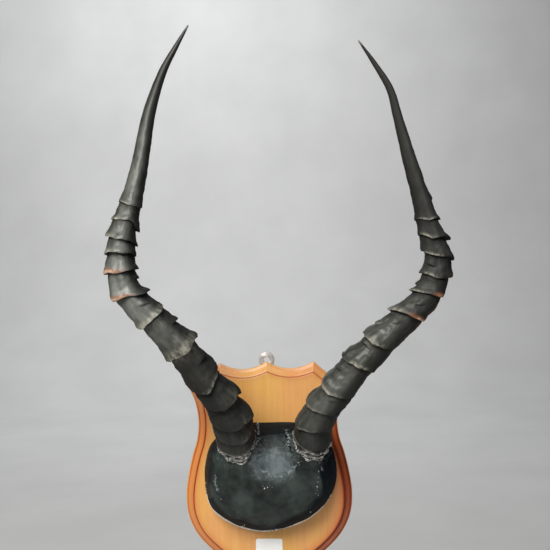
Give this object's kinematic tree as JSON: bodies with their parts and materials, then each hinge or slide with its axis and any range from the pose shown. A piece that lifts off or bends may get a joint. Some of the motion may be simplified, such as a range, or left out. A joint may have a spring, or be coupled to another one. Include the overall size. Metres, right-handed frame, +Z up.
{
  "type": "mounted impala horns",
  "caption": "Ringed, lyre-shaped impala horns on a black painted skull cap, fixed to a varnished wooden wall shield with a small steel hanger.",
  "frame": {"origin": "middle of the shield's flat back face, where it lies against the wall", "axes": "+Z up along the shield, +Y into the wall, so the horns stand out towards -Y; +X to the right seen from the front"},
  "size_m": [0.3777, 0.1434, 0.6785],
  "materials": {
    "varnished_wood": "honey-coloured gloss varnish, darker in the moulded edge",
    "black_painted_bone": "thick black paint with a soft gloss, lumpy, chipped at the rim",
    "horn_keratin": "charcoal grey horn with a satin sheen, rings worn paler and in places orange-brown, tips near black",
    "zinc_plated_steel": "dull grey plating, lightly scratched",
    "screw_steel": "dull plated steel",
    "label_paper": "plain white paper sticker"
  },
  "bodies": {
    "root": {"shield_plaque": "varnished_wood", "skull_cap": "black_painted_bone", "horn_left": "horn_keratin", "horn_right": "horn_keratin", "hanger_plate": "zinc_plated_steel", "hanger_screw_upper": "screw_steel", "hanger_screw_lower": "screw_steel", "cap_screw_left": "screw_steel", "cap_screw_right": "screw_steel", "cap_screw_lower": "screw_steel", "paper_label": "label_paper"}
  },
  "joints": []
}
